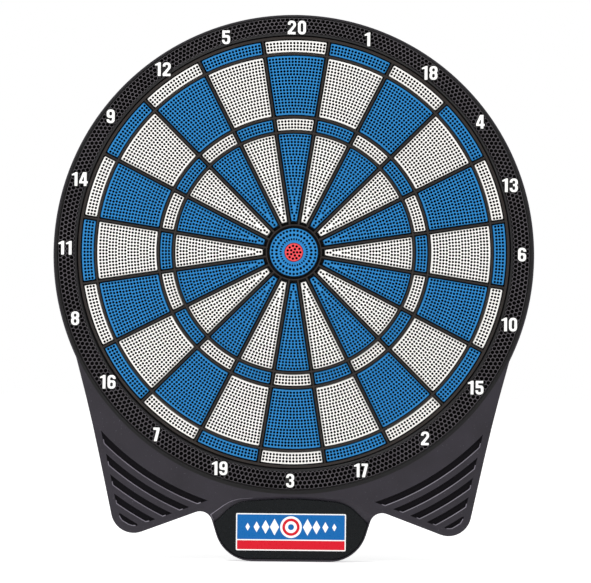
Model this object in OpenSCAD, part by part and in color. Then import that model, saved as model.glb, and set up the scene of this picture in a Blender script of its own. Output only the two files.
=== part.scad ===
// Soft-tip electronic dartboard, hung on a wall.
// X runs right as a player sees it, Z runs up, and the front faces -Y.
// The origin lies on the wall plane, straight behind the middle of the bull.
// Depths are measured forward from the wall plane.

/* [Playing face] */
// Radius of the inner bull
inner_bull_r = 8.5; // [7:0.5:9]
// Outer radius of the outer bull
outer_bull_r = 22.3; // [20:0.1:22.5]
// Inner radius of the inner single segments
single_start_r = 29.2; // [28:0.2:31]
// Inner radius of the triple ring
triple_r = 113.7; // [112:0.1:115]
// Inner radius of the double ring
double_r = 185.9; // [184:0.1:187]
// Outer radius of the double ring
face_r = 196.85; // [196:0.05:197.5]
// Width of the triple ring
triple_w = 10.3; // [9:0.1:11]
// Gap between neighbouring coloured faces across a radial wall
radial_gap = 4.4; // [4:0.1:5]
// Gap between neighbouring coloured faces across a ring wall
ring_gap = 3.7; // [3.4:0.1:4]
// How far a segment travels when a dart hits it
segment_travel = 1.2; // [0.8:0.1:1.3]

/* [Case] */
// Radius of the round rim
rim_r = 223; // [222.5:0.5:226]
// How far the middle of the rim lies below the bull
rim_drop = 2.8; // [0:0.1:3]
// Width of the smooth rim around the catch ring
rim_w = 3.8; // [3.6:0.1:4.5]
// Wall thickness of the front case
case_wall = 2.4; // [2:0.1:3]
// Depth of the case's front surface
case_front = 32; // [31.6:0.2:34]
// Thickness of the case's front wall
front_wall = 2.6; // [2.4:0.1:3]
// Depth at which the front case starts
seam_depth = 12; // [12:0.5:12.5]
// Lowest edge of the pod
pod_bottom = 287; // [286:1:292]
// Width of the sunk wing grooves
groove_w = 6.6; // [5:0.1:7.5]
// Distance from one wing groove to the next
groove_pitch = 11.8; // [11:0.1:13]
// Depth of the wing grooves
groove_sink = 1.4; // [0.8:0.1:1.6]

/* [Catch ring] */
// Height of a number
digit_h = 12.6; // [10:0.1:13]
// Radius of the circle of numbers
digit_circle_r = 210; // [209:0.5:211]

/* [Rear] */
// Thickness of the rear cover's skin
skin = 2; // [1.8:0.1:2.4]
// Inset of the rear cover from the front case's outline
rear_inset = 4; // [3.5:0.1:4.5]
// Distance between the two hanging keyholes
hanger_spacing = 200; // [160:10:220]
// Height of the keyholes above the bull
hanger_height = 150; // [130:5:155]
// Travel of a key
key_travel = 1.2; // [0.8:0.1:1.4]

/* [Hidden] */
$fn = 96;
// Scores clockwise from the top
SCORES = [20, 1, 18, 4, 13, 6, 10, 15, 2, 17, 3, 19, 7, 16, 8, 11, 14, 9, 12, 5];
SECTORS = len(SCORES);
sector_angle = 360 / SECTORS;
KEYS = ["key_power", "key_game", "key_player"];

// Depths of the layers behind the playing face
board_back = 11;
board_front = 14;
membrane_front = 14.6;
flange_back = 18.2;
mat_front = flange_back - segment_travel - 0.4;
flange_front = 20;
web_back = 20.3;
face_depth = 28;
ridge_depth = 29.5;

// Segments: the flange is wider than the body, so the web holds it in
body_side = radial_gap / 2;
flange_side = 0.5;
flange_lip = 0.6;
web_half = 0.95;
web_chamfer = 0.35;
single_split_r = triple_r - ring_gap;
outer_single_r = triple_r + triple_w + ring_gap;
outer_single_end_r = double_r - ring_gap + 0.3;

// The web's walls stand on a wider foot, which covers the segments' flanges
web_play = 0.35;
web_foot = 0.7;
foot_half = radial_gap / 2 - web_play;
// Rings of the web: [middle radius, half width, half width of the foot]
RINGS = [
    [25.5, 0.6, 2.8],
    [single_split_r + ring_gap / 2, web_half, ring_gap / 2 - web_play],
    [triple_r + triple_w + ring_gap / 2, web_half, ring_gap / 2 - web_play],
    [(outer_single_end_r + double_r) / 2, web_half, (double_r - outer_single_end_r) / 2 - web_play],
    [face_r + 2.3, 1.25, 2.3 - web_play],
];
spider_flange_r = 206;
spider_skirt_in_r = 203.4;
tail_gap_x = [-44, -6];

// Front case
ledge_back = 22;
ledge_front = 24;
case_opening_r = 201;
lip_front = seam_depth + 2;
pocket_back = case_front - 3;
pod_wall_back = pocket_back - case_wall;
bevel_depth = case_front - 0.9;
// Steps that round the case's front edge: [inset, how far below the front surface]
EDGE_STEPS = [[0, 1.5], [0.4, 0.7], [1.2, 0]];
first_groove_r = 243.6;
GROOVES = 5;
groove_margin = 6.5;
opening_r = rim_r - rim_w;
opening_drop = rim_drop - 1.5;
opening_wall = 1.8;

// Catch ring
catch_in_r = 201.3;
catch_out_r = opening_r - 0.2;
catch_lip_depth = 29.4;
catch_outer_depth = 31;
digit_front = 31.8;
digit_w = digit_h * 0.54;
digit_stroke = digit_h * 0.19;
digit_gap = 1.1;
// The circle of numbers is a little wide, low at its top and bottom, and high at its sides
digit_spread = 2;
digit_drop = 1.6;
digit_lift = 2.7;

// Layers under the face
support_r = 206;
membrane_r = 202;

// Panel and badge
panel_play = 0.2;
panel_front = case_front - 0.8;
badge_size = [102, 34.5];
badge_z = -259.7;
badge_front = case_front;

// Battery bay
cell_r = 7.2;
cell_l = 48;
cell_x = [13.2, 28, 42.8];
bay_x = [4.5, 51.5];
bay_z = [-269, -211];
cell_depth = 10;
bay_roof = 18;
bay_wall = 1.5;
door_play = 0.4;

// Controller board on its posts, clear of the pod's wall
controller_x = [-53.5, 1];
controller_z = [-274, -236.5];
controller_back = 8.4;
controller_front = 10;
POSTS = [for (x = [-51.5, -2], z = [-270, -240]) [x, z]];
post_hole_r = 1.2;

// Speaker behind slots in the rear cover
speaker_spot = [-125, -212];
speaker_r = 20;

// Keys on the underside of the pod
key_x = [-31, -18, -5];
key_size = [9, 5];
key_depth = 6;
key_play = 0.35;
pod_floor = -pod_bottom + rear_inset;
switch_z = pod_floor + skin + 3.2;

// Fasteners: [x, z, depth where the screw boss meets the front case]
RIM_SCREW_ANGLES = [90, 50, 10, -24, 130, 170, 204];
rim_screw_r = 213.5;
rim_screw_drop = rim_drop - 0.5;
SCREW_SPOTS = concat(
    [for (a = RIM_SCREW_ANGLES) [rim_screw_r * cos(a), rim_screw_r * sin(a) - rim_screw_drop, ledge_back]],
    [for (side = [-1, 1]) [side * 146, -240, case_front - front_wall]],
    [for (side = [-1, 1]) [side * 60.5, -250, pod_wall_back]]
);
screw_r = 1.5;
screw_head_r = 3;
well_r = 4;
post_r = 4.9;
boss_r = 3.8;
screw_seat = 6;
screw_tip = 20;

// Hanging keyholes
keyhole_r = 5;
keyhole_slot = 4.5;
keyhole_rise = 11;
keyhole_pad = 3.5;

// Right half of the case's outline below the rim: [x, z, rounding radius]
SKIRT = [
    [211.3, -62, 0],
    [188, -146.6, 1600],
    [161.6, -269.2, 21.2],
    [77.1, -237.8, 11.5],
    [61.8, -pod_bottom, 35.4],
];
// Right half of the pod panel and of the bevel above it
PANEL = [[0, -227.5, 300], [52, -232, 32], [71.8, -251.5, 4], [60.3, -285, 33.4]];
BEVEL = [[0, -225.8, 300], [55, -229.6, 34], [80.5, -248, 3], [61, -285, 33]];

// ---- Outline helpers ----

// A whole outline from its right half
function mirrored(half) = concat(
    half,
    [for (i = [len(half) - 1:-1:0]) if (half[i][0] > 0) [-half[i][0], half[i][1], half[i][2]]]
);
function unit(v) = v / norm(v);
function turn(a, b) = a[0] * b[1] - a[1] * b[0];
function flat(v) = [v[0], v[1]];
// Moves a corner of a clockwise outline inward by g, its rounding along with it
function inset_corner(before, at, after, g) =
    let (into = unit(flat(at) - flat(before)), out = unit(flat(after) - flat(at)))
    let (n1 = [into[1], -into[0]], n2 = [out[1], -out[0]])
    let (moved = flat(at) + g * (n1 + n2) / (1 + n1 * n2))
    [moved[0], moved[1], at[2] == 0 ? 0 : at[2] + (turn(into, out) < 0 ? -g : g)];
function inset_path(path, g) =
    let (n = len(path))
    [for (i = [0:n - 1]) inset_corner(path[(i + n - 1) % n], path[i], path[(i + 1) % n], g)];
// Points of the arc that rounds one corner
function corner_arc(before, at, after) =
    let (u = unit(flat(before) - flat(at)), v = unit(flat(after) - flat(at)))
    let (half = acos(u * v) / 2, r = at[2])
    let (centre = flat(at) + unit(u + v) * r / sin(half))
    let (start = flat(at) + u * r / tan(half) - centre, sweep = 180 - 2 * half)
    let (steps = max(4, ceil(sweep / 7)), way = turn(u, v) > 0 ? -1 : 1)
    [for (k = [0:steps]) centre + spin(start, way * sweep * k / steps)];
function spin(v, a) = [v[0] * cos(a) - v[1] * sin(a), v[0] * sin(a) + v[1] * cos(a)];
function rounded(path) =
    let (n = len(path))
    [for (i = [0:n - 1]) each path[i][2] < 0.5 ? [flat(path[i])]
        : corner_arc(path[(i + n - 1) % n], path[i], path[(i + 1) % n])];

// ---- Shape helpers ----

// Turns a flat drawing in X and depth-up Z into the board's upright frame
module upright() rotate([90, 0, 0]) children();
// A flat shape drawn in X and Z, filled from one depth to another
module slab(back, front) translate([0, 0, back]) linear_extrude(front - back) children();
module outline(g = 0) {
    rim_disc(rim_r - g);
    polygon(rounded(inset_path(mirrored(SKIRT), g)));
}
module rim_disc(r) translate([0, -rim_drop]) circle(r, $fn = 240);
// The case's round opening, in which the catch ring lies
module opening_disc(r) translate([0, -opening_drop]) circle(r, $fn = 240);
module ring(inner, outer) difference() {
    circle(outer, $fn = 240);
    circle(inner, $fn = 240);
}
module rounded_box(w, h, r) {
    square([w - 2 * r, h], center = true);
    square([w, h - 2 * r], center = true);
    for (sx = [-1, 1], sy = [-1, 1]) translate([sx * (w / 2 - r), sy * (h / 2 - r)]) circle(r, $fn = 32);
}
module at_screws() for (spot = SCREW_SPOTS) translate([spot[0], spot[1]]) children();

// ---- Case ----

module front_case() color([0.22, 0.205, 0.235]) upright() difference() {
    union() {
        slab(seam_depth, case_front - front_wall + 0.5) difference() {
            outline();
            outline(case_wall);
        }
        slab(seam_depth, lip_front) difference() {
            outline(case_wall - 0.4);
            outline(rear_inset + 4.6);
        }
        case_face();
        slab(ledge_back, ledge_front) difference() {
            rim_disc(rim_r - 1);
            circle(case_opening_r, $fn = 240);
        }
        slab(ledge_back, case_front - 1) difference() {
            opening_disc(opening_r + opening_wall);
            opening_disc(opening_r);
        }
        for (spot = SCREW_SPOTS) translate([spot[0], spot[1], seam_depth])
            cylinder(h = spot[2] - seam_depth + 0.5, r = boss_r);
    }
    at_screws() translate([0, 0, seam_depth - 1]) cylinder(h = screw_tip - seam_depth + 2, r = screw_r + 0.05);
    slab(case_front - groove_sink, case_front + 1) wing_grooves();
    slab(pocket_back, case_front + 1) polygon(rounded(mirrored(PANEL)));
    slab(bevel_depth, case_front + 1) intersection() {
        polygon(rounded(mirrored(BEVEL)));
        outline(case_wall);
    }
}

// Front wall of the rim, the wings and the pod, where it is set back behind the panel
module case_face() difference() {
    union() {
        slab(case_front - front_wall, case_front - EDGE_STEPS[0][1]) outline();
        for (step = EDGE_STEPS) slab(case_front - EDGE_STEPS[0][1] - 0.5, case_front - step[1]) outline(step[0]);
        slab(pod_wall_back, case_front - 2) intersection() {
            outline(case_wall - 0.4);
            polygon(rounded(inset_path(mirrored(BEVEL), -case_wall)));
        }
    }
    slab(0, case_front + 1) opening_disc(opening_r);
}

// Arcs that end along the wing's sides and along the straight line of its lower edge
module wing_grooves() intersection() {
    tip = SKIRT[2];
    notch = SKIRT[3];
    middle_z = tip[1] + (notch[1] - tip[1]) / (tip[0] - notch[0]) * tip[0];
    field = [SKIRT[0], SKIRT[1], tip, [0, middle_z, 0]];
    polygon(rounded(inset_path(mirrored(field), groove_margin)));
    for (k = [0:GROOVES - 1]) ring(first_groove_r + k * groove_pitch, first_groove_r + k * groove_pitch + groove_w);
}

module catch_ring() color([0.06, 0.055, 0.06]) upright() {
    reach = catch_out_r + opening_drop + 1;
    intersection() {
        rotate_extrude($fn = 240) polygon([
            [catch_in_r, ledge_front], [reach, ledge_front], [reach, catch_outer_depth],
            [catch_out_r - 1, catch_outer_depth], [catch_in_r + 2, catch_lip_depth - 1],
            [catch_in_r + 1.4, catch_lip_depth], [catch_in_r, catch_lip_depth - 0.6],
        ]);
        slab(0, case_front) opening_disc(catch_out_r);
    }
    color([0.97, 0.97, 0.95]) slab(catch_lip_depth - 2, digit_front) intersection() {
        for (i = [0:SECTORS - 1]) translate(number_spot(i * sector_angle)) number_shape(SCORES[i]);
        opening_disc(catch_out_r - 0.4);
    }
}
function number_spot(a) = [
    (digit_circle_r + digit_spread) * sin(a),
    digit_circle_r * cos(a) - digit_drop + digit_lift * sin(a) ^ 2
];

// ---- Numbers of the dial ----

module number_shape(score) {
    if (score < 10) digit(score);
    else {
        step = (digit_w + digit_gap) / 2 - (score < 20 ? 0.5 : 0);
        translate([-step, 0]) digit(floor(score / 10));
        translate([step, 0]) digit(score % 10);
    }
}

// A closed bowl from height low to height high, both measured from the digit's middle
module bowl(low, high) {
    outer_r = 2.9;
    inner_r = 1;
    translate([0, (low + high) / 2]) difference() {
        rounded_box(digit_w, high - low, outer_r);
        rounded_box(digit_w - 2 * digit_stroke, high - low - 2 * digit_stroke, inner_r);
    }
}
module bar(x0, z0, x1, z1) translate([x0, z0]) square([x1 - x0, z1 - z0]);

module digit(n) {
    w = digit_w / 2;
    h = digit_h / 2;
    s = digit_stroke;
    if (n == 0) bowl(-h, h);
    if (n == 1) {
        bar(-s * 0.35, -h, s * 0.65, h);
        polygon([[-s * 0.3, h], [-w, h - s * 1.1], [-w, h - s * 2], [-s * 0.3, h - s * 1.7]]);
    }
    if (n == 2) {
        difference() {
            bowl(-0.6, h);
            bar(-w - 1, -1, w - s, s);
        }
        bar(-w, -h, w, -h + s);
        polygon([[w, s * 0.4], [w - s, s * 0.2], [-w, -h + s * 0.5], [-w + s * 1.6, -h + s * 0.5]]);
    }
    if (n == 3) difference() {
        union() {
            bowl(-s / 2, h);
            bowl(-h, s / 2);
        }
        bar(-w - 1, -s * 1.3, -w + s, s * 1.3);
    }
    if (n == 4) {
        bar(0, -h, s, h);
        bar(-w, -h * 0.5, w, -h * 0.5 + s * 0.9);
        polygon([[0, h], [s, h], [-w + s * 0.9, -h * 0.4], [-w, -h * 0.4]]);
    }
    if (n == 5) {
        difference() {
            bowl(-h, s * 1.1);
            bar(-w - 1, -s * 1.4, -w + s, -s * 0.1);
        }
        bar(-w, h - s, w - 0.2, h);
        bar(-w, -s * 0.1, -w + s, h - 0.2);
    }
    if (n == 6) {
        bowl(-h, s * 0.8);
        difference() {
            bowl(-h, h);
            bar(-w + s, -h, w + 1, s * 1.1);
        }
    }
    if (n == 7) {
        bar(-w, h - s, w, h);
        polygon([[w, h - s * 0.5], [w - s, h - s * 0.5], [-s * 0.9, -h], [s * 0.2, -h]]);
    }
    if (n == 8) {
        bowl(-s / 2, h);
        bowl(-h, s / 2);
    }
    if (n == 9) rotate(180) digit(6);
}

module fascia_panel() color([0.11, 0.13, 0.145]) upright()
    slab(pocket_back, panel_front) polygon(rounded(inset_path(mirrored(PANEL), panel_play)));

module badge_plate() color([0.03, 0.33, 0.67]) upright() translate([0, badge_z])
    slab(panel_front, badge_front) rounded_box(badge_size[0], badge_size[1], 1.2);

// ---- Playing face ----

// Radial walls and rings between the segments, their front edges broken by a small chamfer
module spider() color([0.24, 0.21, 0.2]) upright() difference() {
    union() {
        for (i = [0:SECTORS - 1]) rotate(i * sector_angle + sector_angle / 2) radial_wall();
        for (r = RINGS) rotate_extrude($fn = 240) translate([r[0], 0]) wall_profile(r[1], r[2]);
        slab(web_back, ledge_back) ring(face_r + 2.3, spider_flange_r);
        slab(board_front, web_back + 0.5) ring(spider_skirt_in_r, spider_flange_r);
    }
    translate([tail_gap_x[0], -spider_flange_r - 2, board_front - 1])
        cube([tail_gap_x[1] - tail_gap_x[0], 20, 3]);
}
module wall_profile(half, foot, drop = 0) {
    top = ridge_depth - drop;
    foot_top = web_back + web_foot - drop;
    polygon([
        [-foot, web_back], [foot, web_back], [foot, foot_top], [half, foot_top],
        [half, top - web_chamfer], [half - web_chamfer, top], [web_chamfer - half, top],
        [-half, top - web_chamfer], [-half, foot_top], [-foot, foot_top],
    ]);
}
// The radial walls and their feet are a little lower than those of the rings that they run into
module radial_wall() {
    start = RINGS[0][0];
    translate([start, 0]) rotate([90, 0, 90]) linear_extrude(RINGS[4][0] - start)
        wall_profile(web_half, foot_half, drop = 0.2);
}

// Piece of a ring within one sector, its sides kept parallel to the radial walls
module sector(inner, outer, side) {
    tip = side / sin(sector_angle / 2);
    reach = outer * 1.2;
    difference() {
        intersection() {
            circle(outer, $fn = 240);
            polygon([[tip, 0], for (s = [-1, 1]) [tip + reach * cos(sector_angle / 2), s * reach * sin(sector_angle / 2)]]);
        }
        circle(inner, $fn = 240);
    }
}
module segment(inner, outer) {
    slab(flange_back, flange_front) sector(inner - flange_lip, outer + flange_lip, flange_side);
    slab(flange_front - 0.2, face_depth) sector(inner, outer, body_side);
}
// Blue singles lie under the numbers whose doubles and triples are white, and the other way round
function is_blue_single(i) = i % 2 == 0;
BLUE = [0.14, 0.49, 0.8];
WHITE = [0.96, 0.96, 0.94];
module at_sector(i) upright() rotate(90 - i * sector_angle) children();
module singles(i) color(is_blue_single(i) ? BLUE : WHITE) at_sector(i) {
    segment(single_start_r, single_split_r);
    segment(outer_single_r, outer_single_end_r);
}
module double_triple(i) color(is_blue_single(i) ? WHITE : BLUE) at_sector(i) {
    segment(triple_r, triple_r + triple_w);
    segment(double_r, face_r);
}

bull_hole_r = inner_bull_r + 0.6;
module outer_bull() color(BLUE) upright() difference() {
    union() {
        slab(flange_back, flange_front) circle(outer_bull_r + 1.6);
        slab(flange_back, face_depth) circle(outer_bull_r);
    }
    slab(flange_back - 1, face_depth + 1) circle(bull_hole_r);
    slab(flange_back - 1, flange_front + 0.9) circle(inner_bull_r + 2.6);
}
module inner_bull() color([0.92, 0.31, 0.33]) upright() {
    slab(flange_back, flange_back + 1) circle(inner_bull_r + 1.9);
    slab(flange_back, face_depth) circle(inner_bull_r);
}

// ---- Layers behind the playing face ----

module rubber_mat() color([0.12, 0.12, 0.12]) upright() slab(membrane_front, mat_front) circle(membrane_r, $fn = 240);
module sensor_membrane() color([0.75, 0.62, 0.3]) upright() {
    slab(board_front, membrane_front) circle(membrane_r, $fn = 240);
    slab(board_front, board_front + 0.3) translate([-40, -248]) square([30, 60]);
}
module support_board() color([0.55, 0.42, 0.28]) upright() slab(board_back, board_front) circle(support_r, $fn = 240);

// ---- Rear ----

module rear_cover() color([0.1, 0.1, 0.105]) upright() difference() {
    union() {
        difference() {
            slab(0, seam_depth) outline(rear_inset);
            slab(skin, seam_depth + 1) outline(rear_inset + skin);
        }
        at_screws() cylinder(h = seam_depth, r = post_r);
        slab(0, board_back) support_ribs();
        for (side = [-1, 1]) translate([side * hanger_spacing / 2, hanger_height])
            slab(0, keyhole_pad) keyhole_outline(4);
        battery_bay();
        slab(0, controller_back) for (spot = POSTS) translate(spot) circle(2 * post_hole_r);
        slab(0, 8) translate(speaker_spot) ring(speaker_r + 0.6, speaker_r + 2.4);
    }
    at_screws() {
        translate([0, 0, -1]) cylinder(h = screw_seat + 1, r = well_r);
        translate([0, 0, -1]) cylinder(h = seam_depth + 3, r = screw_r + 0.25);
    }
    for (side = [-1, 1]) translate([side * hanger_spacing / 2, hanger_height])
        slab(-1, keyhole_pad + 1) keyhole_outline(0);
    slab(-1, skin + 1) translate([(bay_x[0] + bay_x[1]) / 2, (bay_z[0] + bay_z[1]) / 2])
        square([bay_x[1] - bay_x[0], bay_z[1] - bay_z[0]], center = true);
    slab(-1, skin + 1) for (k = [-3:3]) translate(speaker_spot + [k * 5, 0]) rounded_box(2.4, 26, 1.15);
    for (x = key_x) translate([x - key_size[0] / 2 - key_play, pod_floor - 1, key_depth - key_size[1] / 2 - key_play])
        cube([key_size[0] + 2 * key_play, skin + 2, key_size[1] + 2 * key_play]);
}
// A round entry for the screw head with a narrow slot above it
module keyhole_outline(grow) {
    circle(keyhole_r + grow);
    translate([-keyhole_slot / 2 - grow, 0]) square([keyhole_slot + 2 * grow, keyhole_rise]);
    translate([0, keyhole_rise]) circle(keyhole_slot / 2 + grow);
}
// Walls that carry the support board
module support_ribs() {
    ring(60, 62);
    ring(122, 124);
    for (k = [0:5]) rotate(k * 60) translate([61, -1]) square([143, 2]);
}
module battery_bay() {
    middle = [(bay_x[0] + bay_x[1]) / 2, (bay_z[0] + bay_z[1]) / 2];
    size = [bay_x[1] - bay_x[0], bay_z[1] - bay_z[0]];
    slab(0, bay_roof + bay_wall) translate(middle) difference() {
        square(size + [2 * bay_wall, 2 * bay_wall], center = true);
        square(size, center = true);
    }
    slab(bay_roof, bay_roof + bay_wall) translate(middle) square(size + [1, 1], center = true);
}

module battery_door() color([0.1, 0.1, 0.105]) upright() {
    size = [bay_x[1] - bay_x[0] - 2 * door_play, bay_z[1] - bay_z[0] - 2 * door_play];
    middle = [(bay_x[0] + bay_x[1]) / 2, (bay_z[0] + bay_z[1]) / 2];
    difference() {
        slab(0, skin) translate(middle) square(size, center = true);
        slab(-1, 0.8) for (k = [0:3]) translate([middle[0], bay_z[0] + 7 + k * 3]) square([22, 1.2], center = true);
    }
}
module batteries() color([0.2, 0.45, 0.3]) upright() for (x = cell_x)
    translate([x, (bay_z[0] + bay_z[1]) / 2 - cell_l / 2 - 0.7, cell_depth]) rotate([-90, 0, 0]) {
        cylinder(h = cell_l, r = cell_r);
        translate([0, 0, cell_l - 0.1]) cylinder(h = 1.5, r = 2.7);
    }
module battery_contacts() color([0.75, 0.75, 0.72]) upright() {
    for (x = cell_x) {
        translate([x - 5, bay_z[1] - 0.5, cell_depth - 5]) cube([10, 0.5, 10]);
        translate([x - 5, bay_z[0], cell_depth - 5]) cube([10, 0.5, 10]);
        translate([x, bay_z[0] + 0.4, cell_depth]) rotate([-90, 0, 0]) cylinder(h = 2.6, r1 = 4.5, r2 = 2.4);
    }
}
// The board with its chip, the membrane's connector, and a switch above each key
module controller_board() color([0.1, 0.35, 0.18]) upright() {
    chip = [14, 14, 2.2];
    connector = [34, 5, 4.05];
    switch = [6, 3, 5.6];
    standing = controller_front - 0.1;
    difference() {
        slab(controller_back, controller_front) translate([controller_x[0], controller_z[0]])
            square([controller_x[1] - controller_x[0], controller_z[1] - controller_z[0]]);
        for (spot = POSTS) translate([spot[0], spot[1], controller_back - 1]) cylinder(h = 4, r = post_hole_r);
    }
    translate([-38, -262, standing]) cube(chip);
    translate([-42, -247.5, standing]) cube(connector);
    for (x = key_x) {
        translate([x - switch[0] / 2, controller_z[0] - 0.6, standing]) cube([switch[0], 5, 3]);
        translate([x - switch[0] / 2, switch_z + 1.8, key_depth - 1.5]) cube(switch);
        translate([x, switch_z + 0.1, key_depth]) rotate([-90, 0, 0]) cylinder(h = 2, r = 1.4);
    }
}
module speaker() color([0.3, 0.3, 0.32]) upright() translate([speaker_spot[0], speaker_spot[1], skin]) {
    cylinder(h = 4, r = speaker_r);
    translate([0, 0, 3.9]) cylinder(h = 3, r1 = 17, r2 = 12);
    translate([0, 0, 6.8]) cylinder(h = 4.5, r = 11);
}

// ---- Keys and fasteners ----

module key(x) color([0.75, 0.13, 0.15]) upright() translate([x, pod_floor, key_depth]) {
    stem_top = switch_z - pod_floor - key_travel - 0.1;
    half = key_size / 2;
    translate([-half[0], -2, -half[1]]) cube([key_size[0], skin + 2.5, key_size[1]]);
    translate([-half[0] - 1, skin + 0.1, -half[1] - 0.9]) cube([key_size[0] + 2, 0.9, key_size[1] + 1.8]);
    translate([-1.5, skin + 0.4, -1.5]) cube([3, stem_top - skin - 0.4, 3]);
}

module case_screws() color([0.62, 0.6, 0.55]) upright() at_screws() {
    translate([0, 0, screw_seat - 2]) difference() {
        cylinder(h = 2, r = screw_head_r);
        for (a = [0, 90]) rotate(a) translate([-1.8, -0.4, -1]) cube([3.6, 0.8, 2.2]);
    }
    translate([0, 0, screw_seat - 0.1]) cylinder(h = screw_tip - screw_seat, r = screw_r);
}

front_case();
rear_cover();
spider();
catch_ring();
fascia_panel();
badge_plate();
for (i = [0:SECTORS - 1]) singles(i);
for (i = [0:SECTORS - 1]) double_triple(i);
outer_bull();
inner_bull();
rubber_mat();
sensor_membrane();
support_board();
controller_board();
speaker();
battery_contacts();
batteries();
battery_door();
for (k = [0:len(KEYS) - 1]) key(key_x[k]);
case_screws();
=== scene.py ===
"""Soft-tip electronic dartboard, hung on a wall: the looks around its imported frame.

X runs right as a player sees it, Z runs up, and the front faces -Y.
Shapes are drawn in millimetres as (x, z) points seen from the front, with depths measured forward
from the wall. Every outline runs counterclockwise.
"""

import math

import bpy
from mathutils import Euler, Matrix, Vector
from mathutils.geometry import delaunay_2d_cdt


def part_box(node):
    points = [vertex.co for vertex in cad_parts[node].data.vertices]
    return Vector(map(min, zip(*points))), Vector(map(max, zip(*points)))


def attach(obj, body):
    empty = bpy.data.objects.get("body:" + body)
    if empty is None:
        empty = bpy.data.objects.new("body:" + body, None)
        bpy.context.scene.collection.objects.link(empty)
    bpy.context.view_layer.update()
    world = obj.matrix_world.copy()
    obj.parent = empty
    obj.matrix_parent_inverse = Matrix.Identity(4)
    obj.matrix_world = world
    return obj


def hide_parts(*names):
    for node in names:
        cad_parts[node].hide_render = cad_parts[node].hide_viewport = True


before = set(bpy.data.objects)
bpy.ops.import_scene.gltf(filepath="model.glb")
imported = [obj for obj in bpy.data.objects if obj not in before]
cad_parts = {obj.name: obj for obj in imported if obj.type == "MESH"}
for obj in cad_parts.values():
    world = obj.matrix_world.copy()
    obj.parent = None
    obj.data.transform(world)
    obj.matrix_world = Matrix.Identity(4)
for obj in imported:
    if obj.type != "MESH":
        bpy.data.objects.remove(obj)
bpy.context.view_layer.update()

MM = 0.001
SCORES = [20, 1, 18, 4, 13, 6, 10, 15, 2, 17, 3, 19, 7, 16, 8, 11, 14, 9, 12, 5]
SECTOR = math.radians(360 / len(SCORES))


def depths(node):
    """Back and front depth of a CAD node, in millimetres forward of the wall."""
    low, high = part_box(node)
    return -high.y / MM, -low.y / MM


# ---- Sizes, from the frame ----

RIM_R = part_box("front_case")[1].x / MM
RIM_MIDDLE = Vector((0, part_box("front_case")[1].z / MM - RIM_R))
OPENING_MIDDLE = RIM_MIDDLE + Vector((0, 1.5))
CASE_BACK, CASE_FRONT = depths("front_case")
POD_BOTTOM = -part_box("front_case")[0].z / MM
SEGMENT_BACK, FACE = depths("single_20")
DOUBLE_END_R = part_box("double_triple_20")[1].z / MM - 0.6
BULL_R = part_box("outer_bull")[1].z / MM - 1.6
INNER_BULL_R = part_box("inner_bull")[1].z / MM - 1.9
PANEL_BACK, PANEL_FRONT = depths("fascia_panel")
BADGE_BACK, BADGE_FRONT = depths("badge_plate")
CATCH_BACK, NUMBER_FRONT = depths("catch_ring")

# Segments: (inner radius, outer radius, rows of holes, holes in a row or none to fill the width)
INNER_SINGLE = (29.2, 110.0, 28, None)
TRIPLE = (113.7, 124.0, 3, 11)
OUTER_SINGLE = (127.7, 182.5, 18, None)
DOUBLE = (185.9, DOUBLE_END_R, 3, 18)
FLANGE_FRONT = 20.0
FLANGE_LIP = 0.6
BODY_SIDE = 2.2
FLANGE_SIDE = 0.5
TIP_R = 1.2
TIP_LEAD = 0.04
TIP_PITCH = 2.9

# Catch ring
CATCH_IN_R = 201.3
CATCH_OUT_R = 219.0
COMB_IN_R = 203.8
COMB_OUT_R = 218.7
OPENING_R = 219.2
LEDGE_R = 201.0

# Grooves of the wings
GROOVE_R = 243.6
GROOVE_PITCH = 11.8
GROOVE_W = 6.6
GROOVES = 5
GROOVE_BORDER = 6.5

# Right half of the case's outline below the rim: (x, z, rounding radius)
SKIRT = [
    (211.3, -62, 0),
    (188, -146.6, 1600),
    (161.6, -269.2, 21.2),
    (77.1, -237.8, 11.5),
    (61.8, -POD_BOTTOM, 35.4),
]
# Right half of the pod's panel and of the scoop round it
PANEL = [(0, -227.5, 300), (52, -232, 32), (71.8, -251.5, 4), (60.3, -285, 33.4)]
SCOOP = [(0, -225.8, 300), (55, -229.6, 34), (80.5, -248, 3), (61, -285, 33)]


# ---- Camera ----


def make_camera():
    """Square to the board, from so far that the picture is nearly free of perspective."""
    distance = 3.9
    view_width = 0.5487
    camera = bpy.data.cameras.new("camera")
    camera.lens = camera.sensor_width * distance / view_width
    camera.clip_end = 30
    holder = bpy.data.objects.new("camera", camera)
    holder.location = (0.0019, -FACE * MM - distance, -0.0364)
    holder.rotation_euler = Euler((math.radians(90), math.radians(-0.6), 0))
    bpy.context.scene.collection.objects.link(holder)
    bpy.context.scene.camera = holder


# ---- Flat outlines ----


def spread(start, end, steps):
    """Evenly spaced values from start to end."""
    return [start + (end - start) * k / steps for k in range(steps + 1)]


def polar(r, angle):
    """A point at radius r from the bull, its angle clockwise from the top."""
    return Vector((r * math.sin(angle), r * math.cos(angle)))


def circle(r, count, middle=(0, 0)):
    """A round outline that starts at the top."""
    return [Vector(middle) + polar(r, a) for a in spread(0, -2 * math.pi, count)[:-1]]


def mirrored(half):
    """A whole outline's corners from those of its right half."""
    return half + [(-x, z, r) for x, z, r in reversed(half) if x > 0]


def turn(a, b):
    return a.x * b.y - a.y * b.x


def corner_arc(before, at, after, radius, step=math.radians(8)):
    """Points of the arc that rounds one corner."""
    u = (before - at).normalized()
    v = (after - at).normalized()
    half = u.angle(v) / 2
    middle = at + (u + v).normalized() * radius / math.sin(half)
    start = at + u * radius / math.tan(half) - middle
    sweep = math.pi - 2 * half
    if turn(u, v) > 0:
        sweep = -sweep
    count = max(3, math.ceil(abs(sweep) / step))
    return [middle + Matrix.Rotation(a, 2) @ start for a in spread(0, sweep, count)]


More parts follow.
